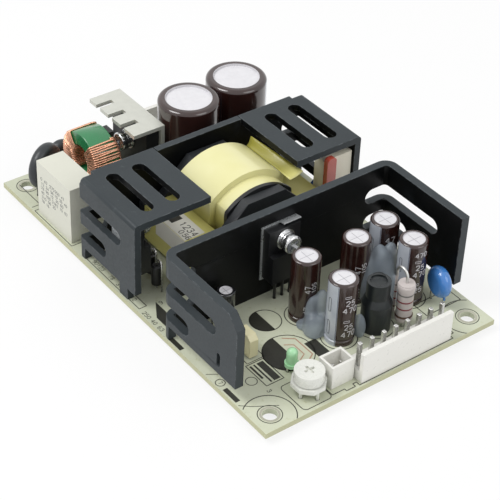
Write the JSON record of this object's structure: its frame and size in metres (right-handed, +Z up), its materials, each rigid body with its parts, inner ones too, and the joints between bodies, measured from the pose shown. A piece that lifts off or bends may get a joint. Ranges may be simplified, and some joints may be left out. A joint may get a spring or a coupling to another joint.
{
  "type": "open frame power supply",
  "caption": "Open frame switching power supply: components and two folded heatsinks on a bare board with corner mounting holes.",
  "frame": {"origin": "centre of the corner mounting holes, on the underside of the board", "axes": "+X along the board towards the output connector, +Y across it, +Z up from the component side"},
  "size_m": [0.127, 0.0762, 0.0302],
  "materials": {
    "board": "pale cream-green printed board under a clear lacquer",
    "solder": "dull solder",
    "black_anodised": "satin black anodised sheet",
    "ferrite": "dark ferrite",
    "black_plastic": "black moulded plastic",
    "yellow_tape": "pale yellow polyester tape",
    "tinned_metal": "tinned pins",
    "brown_sleeve": "dark brown shrink sleeve",
    "cream_plastic": "cream moulded case",
    "green_coating": "green lacquered core",
    "copper": "enamelled copper wire",
    "dark_epoxy": "dark dipped epoxy",
    "tinned_plate": "tinned steel plate",
    "bright_steel": "plated screw",
    "white_nylon": "white nylon",
    "green_lens": "pale green lens",
    "black_sleeve": "black shrink sleeve",
    "heat_shrink": "black heat shrink tube",
    "grey_coating": "grey coated body with colour bands",
    "blue_epoxy": "blue dipped epoxy",
    "red_epoxy": "red dipped epoxy",
    "silver_pad": "silver insulating pad"
  },
  "bodies": {
    "supply": {"circuit_board": "board", "solder_joints": "solder", "primary_heatsink": "black_anodised", "output_heatsink": "black_anodised", "transformer_core": "ferrite", "transformer_bobbin": "black_plastic", "transformer_winding": "yellow_tape", "transformer_tape": "yellow_tape", "transformer_pins": "tinned_metal", "mains_capacitor_a": "brown_sleeve", "mains_capacitor_b": "brown_sleeve", "mains_filter_capacitor": "cream_plastic", "choke_core": "green_coating", "choke_winding_rear": "copper", "choke_winding_front": "copper", "choke_base": "black_plastic", "varistor": "dark_epoxy", "thermistor": "dark_epoxy", "fuse": "black_plastic", "bridge_rectifier": "black_plastic", "bridge_heatsink": "tinned_plate", "bridge_screw": "bright_steel", "input_header": "white_nylon", "input_pins": "tinned_metal", "output_header": "white_nylon", "output_pins": "tinned_metal", "signal_header": "white_nylon", "signal_pins": "tinned_metal", "trimmer_body": "white_nylon", "indicator_led": "green_lens", "output_capacitor_a": "brown_sleeve", "output_capacitor_b": "brown_sleeve", "output_capacitor_c": "brown_sleeve", "output_capacitor_d": "brown_sleeve", "output_capacitor_e": "brown_sleeve", "auxiliary_capacitor": "black_sleeve", "output_inductor": "heat_shrink", "load_resistor": "grey_coating", "disc_capacitor": "blue_epoxy", "output_rectifier": "black_plastic", "output_rectifier_screw": "bright_steel", "output_rectifier_pad": "silver_pad", "switching_transistor": "black_plastic", "switching_transistor_screw": "bright_steel", "switching_transistor_pad": "silver_pad", "film_capacitor": "cream_plastic", "snubber_capacitor": "red_epoxy", "safety_capacitor": "blue_epoxy", "ceramic_capacitor": "cream_plastic"},
    "trimmer": {"trimmer_rotor": "white_nylon"}
  },
  "joints": [
    {"name": "trimmer_turn", "type": "hinge", "parent": "supply", "child": "trimmer", "pos_m": [0.0571, -0.02, 0.0073], "axis": [0, 0, 1], "range_deg": [-105, 105]}
  ]
}
